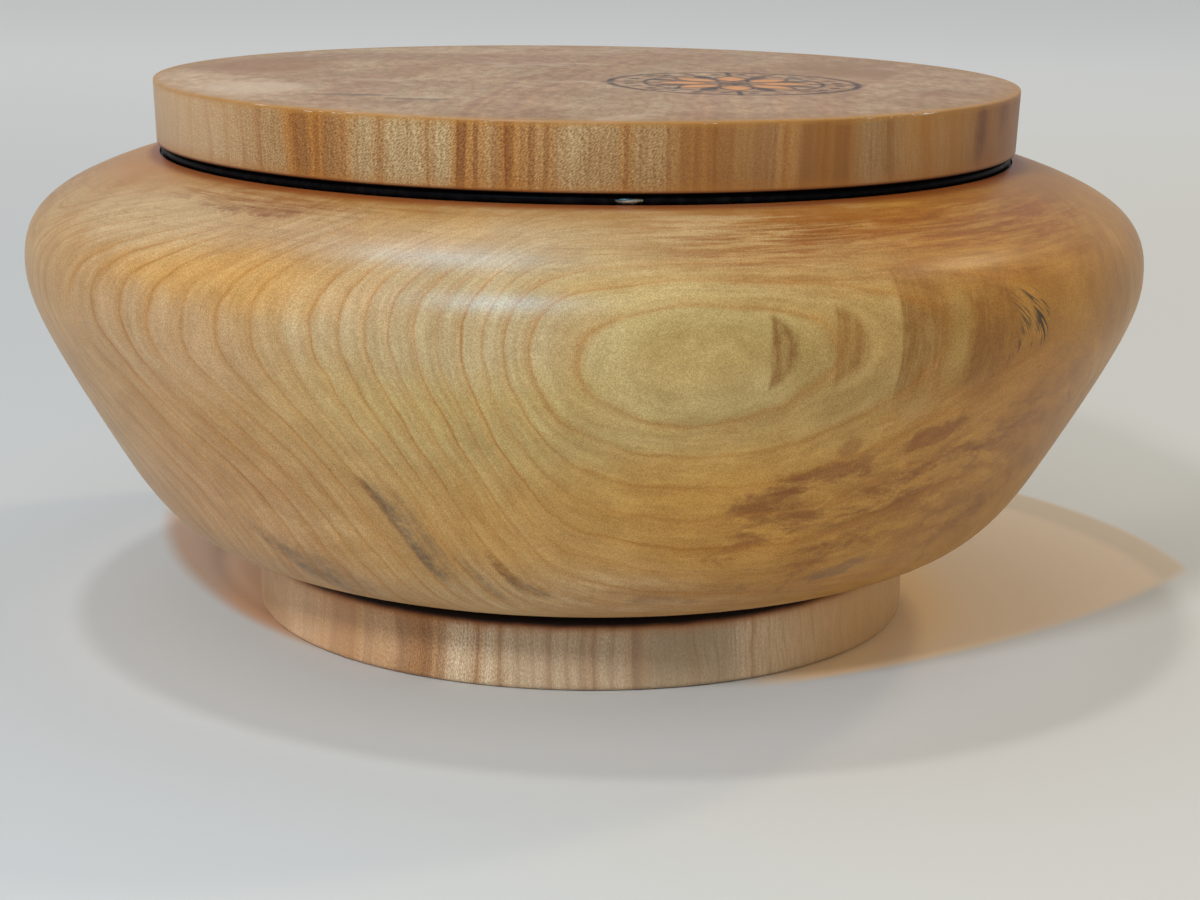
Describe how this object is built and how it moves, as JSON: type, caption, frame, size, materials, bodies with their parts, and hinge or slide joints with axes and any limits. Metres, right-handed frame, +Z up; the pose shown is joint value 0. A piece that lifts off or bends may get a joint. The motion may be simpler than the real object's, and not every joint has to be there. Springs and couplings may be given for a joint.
{
  "type": "turned wooden box",
  "caption": "Round turned wooden box: a wide bowl on a foot ring with a flat lift-off lid seated on a thin black ring.",
  "frame": {"origin": "centre of the foot ring's underside, on the table", "axes": "+Z up along the turning axis; the pictured front is -Y, and +X is to its right"},
  "size_m": [0.2204, 0.2204, 0.1059],
  "materials": {
    "bowl_wood": "figured pale wood under a satin lacquer",
    "foot_wood": "pale streaked wood, satin",
    "lid_wood": "streaked wood with a burned and tinted pattern on top, satin",
    "ring_rubber": "smooth, slightly glossy",
    "sleeve_metal": "pressed, dull silver"
  },
  "bodies": {
    "box": {"bowl": "bowl_wood", "foot_ring": "foot_wood"},
    "seal": {"black_ring": "ring_rubber", "ring_sleeve": "sleeve_metal"},
    "cover": {"lid": "lid_wood"}
  },
  "joints": [
    {"name": "lid_turn", "type": "hinge", "parent": "box", "child": "seal", "pos_m": [0, 0, 0.0925], "axis": [0, 0, 1], "continuous": true},
    {"name": "lid_lift", "type": "slide", "parent": "seal", "child": "cover", "axis": [0, 0, 1], "range_m": [0, 0.06]}
  ]
}
